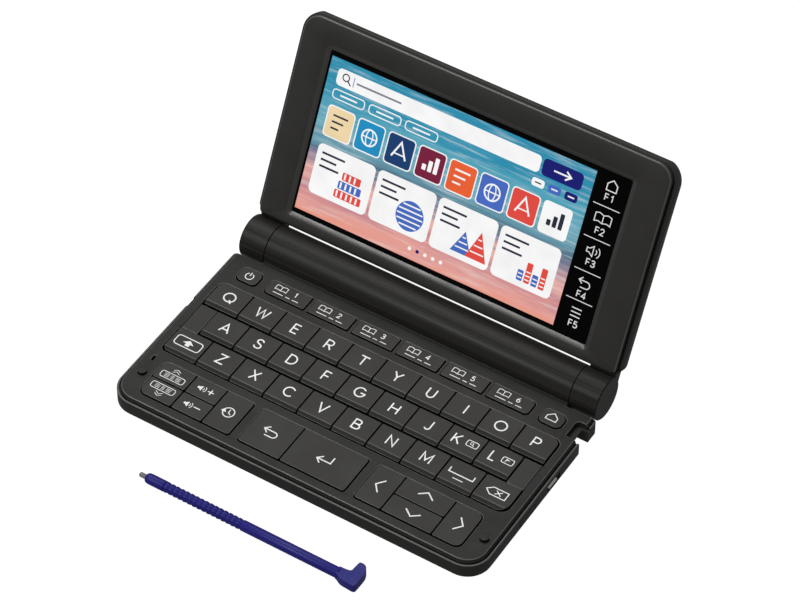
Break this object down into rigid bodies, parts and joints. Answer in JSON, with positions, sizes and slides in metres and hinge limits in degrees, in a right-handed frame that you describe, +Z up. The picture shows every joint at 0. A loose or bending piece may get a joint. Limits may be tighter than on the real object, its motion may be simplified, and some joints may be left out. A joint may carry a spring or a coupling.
{
  "type": "electronic dictionary",
  "caption": "Clamshell electronic dictionary with a barrel hinge, tilting screen lid, letter keyboard, sprung keys, battery tube and loose stylus.",
  "frame": {"origin": "on the table, at the middle of the base's footprint, under the middle rubber pad", "axes": "+X to the right along the hinge, +Y from the front edge to the hinge, +Z up; the lid stands open at rest"},
  "size_m": [0.15, 0.1568, 0.0867],
  "materials": {
    "case": "fine matt charcoal plastic",
    "lid": "satin charcoal plastic",
    "key": "matt dark grey plastic with white legends",
    "display": "glossy black display behind clear glass",
    "pad_rubber": "matt black rubber",
    "silicone": "translucent grey silicone",
    "steel": "bright turned steel",
    "circuit_board": "green solder mask with black packages",
    "cell_label": "printed foil sleeve, metal ends",
    "stylus": "satin violet plastic with a grey tip"
  },
  "bodies": {
    "base": {"lower_case": "case", "upper_case": "case", "battery_cells": "cell_label", "main_board": "circuit_board", "key_membrane": "silicone", "rubber_pads": "pad_rubber", "steel_fittings": "steel"},
    "lid": {"lid_cover": "lid", "lid_bezel": "lid", "display_panel": "display"},
    "battery_door": {"battery_cover": "case"},
    "stylus": {"stylus": "stylus"},
    "key_power_cap": {"key_power": "key"},
    "key_func_1_cap": {"key_func_1": "key"},
    "key_func_2_cap": {"key_func_2": "key"},
    "key_func_3_cap": {"key_func_3": "key"},
    "key_func_4_cap": {"key_func_4": "key"},
    "key_func_5_cap": {"key_func_5": "key"},
    "key_func_6_cap": {"key_func_6": "key"},
    "key_home_cap": {"key_home": "key"},
    "key_q_cap": {"key_q": "key"},
    "key_w_cap": {"key_w": "key"},
    "key_e_cap": {"key_e": "key"},
    "key_r_cap": {"key_r": "key"},
    "key_t_cap": {"key_t": "key"},
    "key_y_cap": {"key_y": "key"},
    "key_u_cap": {"key_u": "key"},
    "key_i_cap": {"key_i": "key"},
    "key_o_cap": {"key_o": "key"},
    "key_p_cap": {"key_p": "key"},
    "key_a_cap": {"key_a": "key"},
    "key_s_cap": {"key_s": "key"},
    "key_d_cap": {"key_d": "key"},
    "key_f_cap": {"key_f": "key"},
    "key_g_cap": {"key_g": "key"},
    "key_h_cap": {"key_h": "key"},
    "key_j_cap": {"key_j": "key"},
    "key_k_cap": {"key_k": "key"},
    "key_l_cap": {"key_l": "key"},
    "key_shift_cap": {"key_shift": "key"},
    "key_z_cap": {"key_z": "key"},
    "key_x_cap": {"key_x": "key"},
    "key_c_cap": {"key_c": "key"},
    "key_v_cap": {"key_v": "key"},
    "key_b_cap": {"key_b": "key"},
    "key_n_cap": {"key_n": "key"},
    "key_m_cap": {"key_m": "key"},
    "key_space_cap": {"key_space": "key"},
    "key_delete_cap": {"key_delete": "key"},
    "key_page_up_cap": {"key_page_up": "key"},
    "key_page_down_cap": {"key_page_down": "key"},
    "key_volume_up_cap": {"key_volume_up": "key"},
    "key_volume_down_cap": {"key_volume_down": "key"},
    "key_history_cap": {"key_history": "key"},
    "key_back_cap": {"key_back": "key"},
    "key_enter_cap": {"key_enter": "key"},
    "key_left_cap": {"key_left": "key"},
    "key_up_cap": {"key_up": "key"},
    "key_down_cap": {"key_down": "key"},
    "key_right_cap": {"key_right": "key"}
  },
  "joints": [
    {"name": "lid_hinge", "type": "hinge", "parent": "base", "child": "lid", "pos_m": [0, 0.0398, 0.00825], "axis": [1, 0, 0], "range_deg": [-34, 116.03]},
    {"name": "stylus_lift", "type": "slide", "parent": "base", "child": "stylus", "axis": [0, 0, 1], "range_m": [0, 0.06]},
    {"name": "battery_cover_slide", "type": "slide", "parent": "base", "child": "battery_door", "axis": [0, 1, 0], "range_m": [0, 0.01]},
    {"name": "key_power_press", "type": "slide", "parent": "base", "child": "key_power_cap", "axis": [0, 0, -1], "range_m": [0, 0.0007], "stiffness_N_per_m": 500, "springref_m": -0.0006, "deforming": ["key_membrane"]},
    {"name": "key_func_1_press", "type": "slide", "parent": "base", "child": "key_func_1_cap", "axis": [0, 0, -1], "range_m": [0, 0.0007], "stiffness_N_per_m": 500, "springref_m": -0.0006, "deforming": ["key_membrane"]},
    {"name": "key_func_2_press", "type": "slide", "parent": "base", "child": "key_func_2_cap", "axis": [0, 0, -1], "range_m": [0, 0.0007], "stiffness_N_per_m": 500, "springref_m": -0.0006, "deforming": ["key_membrane"]},
    {"name": "key_func_3_press", "type": "slide", "parent": "base", "child": "key_func_3_cap", "axis": [0, 0, -1], "range_m": [0, 0.0007], "stiffness_N_per_m": 500, "springref_m": -0.0006, "deforming": ["key_membrane"]},
    {"name": "key_func_4_press", "type": "slide", "parent": "base", "child": "key_func_4_cap", "axis": [0, 0, -1], "range_m": [0, 0.0007], "stiffness_N_per_m": 500, "springref_m": -0.0006, "deforming": ["key_membrane"]},
    {"name": "key_func_5_press", "type": "slide", "parent": "base", "child": "key_func_5_cap", "axis": [0, 0, -1], "range_m": [0, 0.0007], "stiffness_N_per_m": 500, "springref_m": -0.0006, "deforming": ["key_membrane"]},
    {"name": "key_func_6_press", "type": "slide", "parent": "base", "child": "key_func_6_cap", "axis": [0, 0, -1], "range_m": [0, 0.0007], "stiffness_N_per_m": 500, "springref_m": -0.0006, "deforming": ["key_membrane"]},
    {"name": "key_home_press", "type": "slide", "parent": "base", "child": "key_home_cap", "axis": [0, 0, -1], "range_m": [0, 0.0007], "stiffness_N_per_m": 500, "springref_m": -0.0006, "deforming": ["key_membrane"]},
    {"name": "key_q_press", "type": "slide", "parent": "base", "child": "key_q_cap", "axis": [0, 0, -1], "range_m": [0, 0.0007], "stiffness_N_per_m": 500, "springref_m": -0.0006, "deforming": ["key_membrane"]},
    {"name": "key_w_press", "type": "slide", "parent": "base", "child": "key_w_cap", "axis": [0, 0, -1], "range_m": [0, 0.0007], "stiffness_N_per_m": 500, "springref_m": -0.0006, "deforming": ["key_membrane"]},
    {"name": "key_e_press", "type": "slide", "parent": "base", "child": "key_e_cap", "axis": [0, 0, -1], "range_m": [0, 0.0007], "stiffness_N_per_m": 500, "springref_m": -0.0006, "deforming": ["key_membrane"]},
    {"name": "key_r_press", "type": "slide", "parent": "base", "child": "key_r_cap", "axis": [0, 0, -1], "range_m": [0, 0.0007], "stiffness_N_per_m": 500, "springref_m": -0.0006, "deforming": ["key_membrane"]},
    {"name": "key_t_press", "type": "slide", "parent": "base", "child": "key_t_cap", "axis": [0, 0, -1], "range_m": [0, 0.0007], "stiffness_N_per_m": 500, "springref_m": -0.0006, "deforming": ["key_membrane"]},
    {"name": "key_y_press", "type": "slide", "parent": "base", "child": "key_y_cap", "axis": [0, 0, -1], "range_m": [0, 0.0007], "stiffness_N_per_m": 500, "springref_m": -0.0006, "deforming": ["key_membrane"]},
    {"name": "key_u_press", "type": "slide", "parent": "base", "child": "key_u_cap", "axis": [0, 0, -1], "range_m": [0, 0.0007], "stiffness_N_per_m": 500, "springref_m": -0.0006, "deforming": ["key_membrane"]},
    {"name": "key_i_press", "type": "slide", "parent": "base", "child": "key_i_cap", "axis": [0, 0, -1], "range_m": [0, 0.0007], "stiffness_N_per_m": 500, "springref_m": -0.0006, "deforming": ["key_membrane"]},
    {"name": "key_o_press", "type": "slide", "parent": "base", "child": "key_o_cap", "axis": [0, 0, -1], "range_m": [0, 0.0007], "stiffness_N_per_m": 500, "springref_m": -0.0006, "deforming": ["key_membrane"]},
    {"name": "key_p_press", "type": "slide", "parent": "base", "child": "key_p_cap", "axis": [0, 0, -1], "range_m": [0, 0.0007], "stiffness_N_per_m": 500, "springref_m": -0.0006, "deforming": ["key_membrane"]},
    {"name": "key_a_press", "type": "slide", "parent": "base", "child": "key_a_cap", "axis": [0, 0, -1], "range_m": [0, 0.0007], "stiffness_N_per_m": 500, "springref_m": -0.0006, "deforming": ["key_membrane"]},
    {"name": "key_s_press", "type": "slide", "parent": "base", "child": "key_s_cap", "axis": [0, 0, -1], "range_m": [0, 0.0007], "stiffness_N_per_m": 500, "springref_m": -0.0006, "deforming": ["key_membrane"]},
    {"name": "key_d_press", "type": "slide", "parent": "base", "child": "key_d_cap", "axis": [0, 0, -1], "range_m": [0, 0.0007], "stiffness_N_per_m": 500, "springref_m": -0.0006, "deforming": ["key_membrane"]},
    {"name": "key_f_press", "type": "slide", "parent": "base", "child": "key_f_cap", "axis": [0, 0, -1], "range_m": [0, 0.0007], "stiffness_N_per_m": 500, "springref_m": -0.0006, "deforming": ["key_membrane"]},
    {"name": "key_g_press", "type": "slide", "parent": "base", "child": "key_g_cap", "axis": [0, 0, -1], "range_m": [0, 0.0007], "stiffness_N_per_m": 500, "springref_m": -0.0006, "deforming": ["key_membrane"]},
    {"name": "key_h_press", "type": "slide", "parent": "base", "child": "key_h_cap", "axis": [0, 0, -1], "range_m": [0, 0.0007], "stiffness_N_per_m": 500, "springref_m": -0.0006, "deforming": ["key_membrane"]},
    {"name": "key_j_press", "type": "slide", "parent": "base", "child": "key_j_cap", "axis": [0, 0, -1], "range_m": [0, 0.0007], "stiffness_N_per_m": 500, "springref_m": -0.0006, "deforming": ["key_membrane"]},
    {"name": "key_k_press", "type": "slide", "parent": "base", "child": "key_k_cap", "axis": [0, 0, -1], "range_m": [0, 0.0007], "stiffness_N_per_m": 500, "springref_m": -0.0006, "deforming": ["key_membrane"]},
    {"name": "key_l_press", "type": "slide", "parent": "base", "child": "key_l_cap", "axis": [0, 0, -1], "range_m": [0, 0.0007], "stiffness_N_per_m": 500, "springref_m": -0.0006, "deforming": ["key_membrane"]},
    {"name": "key_shift_press", "type": "slide", "parent": "base", "child": "key_shift_cap", "axis": [0, 0, -1], "range_m": [0, 0.0007], "stiffness_N_per_m": 500, "springref_m": -0.0006, "deforming": ["key_membrane"]},
    {"name": "key_z_press", "type": "slide", "parent": "base", "child": "key_z_cap", "axis": [0, 0, -1], "range_m": [0, 0.0007], "stiffness_N_per_m": 500, "springref_m": -0.0006, "deforming": ["key_membrane"]},
    {"name": "key_x_press", "type": "slide", "parent": "base", "child": "key_x_cap", "axis": [0, 0, -1], "range_m": [0, 0.0007], "stiffness_N_per_m": 500, "springref_m": -0.0006, "deforming": ["key_membrane"]},
    {"name": "key_c_press", "type": "slide", "parent": "base", "child": "key_c_cap", "axis": [0, 0, -1], "range_m": [0, 0.0007], "stiffness_N_per_m": 500, "springref_m": -0.0006, "deforming": ["key_membrane"]},
    {"name": "key_v_press", "type": "slide", "parent": "base", "child": "key_v_cap", "axis": [0, 0, -1], "range_m": [0, 0.0007], "stiffness_N_per_m": 500, "springref_m": -0.0006, "deforming": ["key_membrane"]},
    {"name": "key_b_press", "type": "slide", "parent": "base", "child": "key_b_cap", "axis": [0, 0, -1], "range_m": [0, 0.0007], "stiffness_N_per_m": 500, "springref_m": -0.0006, "deforming": ["key_membrane"]},
    {"name": "key_n_press", "type": "slide", "parent": "base", "child": "key_n_cap", "axis": [0, 0, -1], "range_m": [0, 0.0007], "stiffness_N_per_m": 500, "springref_m": -0.0006, "deforming": ["key_membrane"]},
    {"name": "key_m_press", "type": "slide", "parent": "base", "child": "key_m_cap", "axis": [0, 0, -1], "range_m": [0, 0.0007], "stiffness_N_per_m": 500, "springref_m": -0.0006, "deforming": ["key_membrane"]},
    {"name": "key_space_press", "type": "slide", "parent": "base", "child": "key_space_cap", "axis": [0, 0, -1], "range_m": [0, 0.0007], "stiffness_N_per_m": 500, "springref_m": -0.0006, "deforming": ["key_membrane"]},
    {"name": "key_delete_press", "type": "slide", "parent": "base", "child": "key_delete_cap", "axis": [0, 0, -1], "range_m": [0, 0.0007], "stiffness_N_per_m": 500, "springref_m": -0.0006, "deforming": ["key_membrane"]},
    {"name": "key_page_up_press", "type": "slide", "parent": "base", "child": "key_page_up_cap", "axis": [0, 0, -1], "range_m": [0, 0.0007], "stiffness_N_per_m": 500, "springref_m": -0.0006, "deforming": ["key_membrane"]},
    {"name": "key_page_down_press", "type": "slide", "parent": "base", "child": "key_page_down_cap", "axis": [0, 0, -1], "range_m": [0, 0.0007], "stiffness_N_per_m": 500, "springref_m": -0.0006, "deforming": ["key_membrane"]},
    {"name": "key_volume_up_press", "type": "slide", "parent": "base", "child": "key_volume_up_cap", "axis": [0, 0, -1], "range_m": [0, 0.0007], "stiffness_N_per_m": 500, "springref_m": -0.0006, "deforming": ["key_membrane"]},
    {"name": "key_volume_down_press", "type": "slide", "parent": "base", "child": "key_volume_down_cap", "axis": [0, 0, -1], "range_m": [0, 0.0007], "stiffness_N_per_m": 500, "springref_m": -0.0006, "deforming": ["key_membrane"]},
    {"name": "key_history_press", "type": "slide", "parent": "base", "child": "key_history_cap", "axis": [0, 0, -1], "range_m": [0, 0.0007], "stiffness_N_per_m": 500, "springref_m": -0.0006, "deforming": ["key_membrane"]},
    {"name": "key_back_press", "type": "slide", "parent": "base", "child": "key_back_cap", "axis": [0, 0, -1], "range_m": [0, 0.0007], "stiffness_N_per_m": 500, "springref_m": -0.0006, "deforming": ["key_membrane"]},
    {"name": "key_enter_press", "type": "slide", "parent": "base", "child": "key_enter_cap", "axis": [0, 0, -1], "range_m": [0, 0.0007], "stiffness_N_per_m": 500, "springref_m": -0.0006, "deforming": ["key_membrane"]},
    {"name": "key_left_press", "type": "slide", "parent": "base", "child": "key_left_cap", "axis": [0, 0, -1], "range_m": [0, 0.0007], "stiffness_N_per_m": 500, "springref_m": -0.0006, "deforming": ["key_membrane"]},
    {"name": "key_up_press", "type": "slide", "parent": "base", "child": "key_up_cap", "axis": [0, 0, -1], "range_m": [0, 0.0007], "stiffness_N_per_m": 500, "springref_m": -0.0006, "deforming": ["key_membrane"]},
    {"name": "key_down_press", "type": "slide", "parent": "base", "child": "key_down_cap", "axis": [0, 0, -1], "range_m": [0, 0.0007], "stiffness_N_per_m": 500, "springref_m": -0.0006, "deforming": ["key_membrane"]},
    {"name": "key_right_press", "type": "slide", "parent": "base", "child": "key_right_cap", "axis": [0, 0, -1], "range_m": [0, 0.0007], "stiffness_N_per_m": 500, "springref_m": -0.0006, "deforming": ["key_membrane"]}
  ]
}
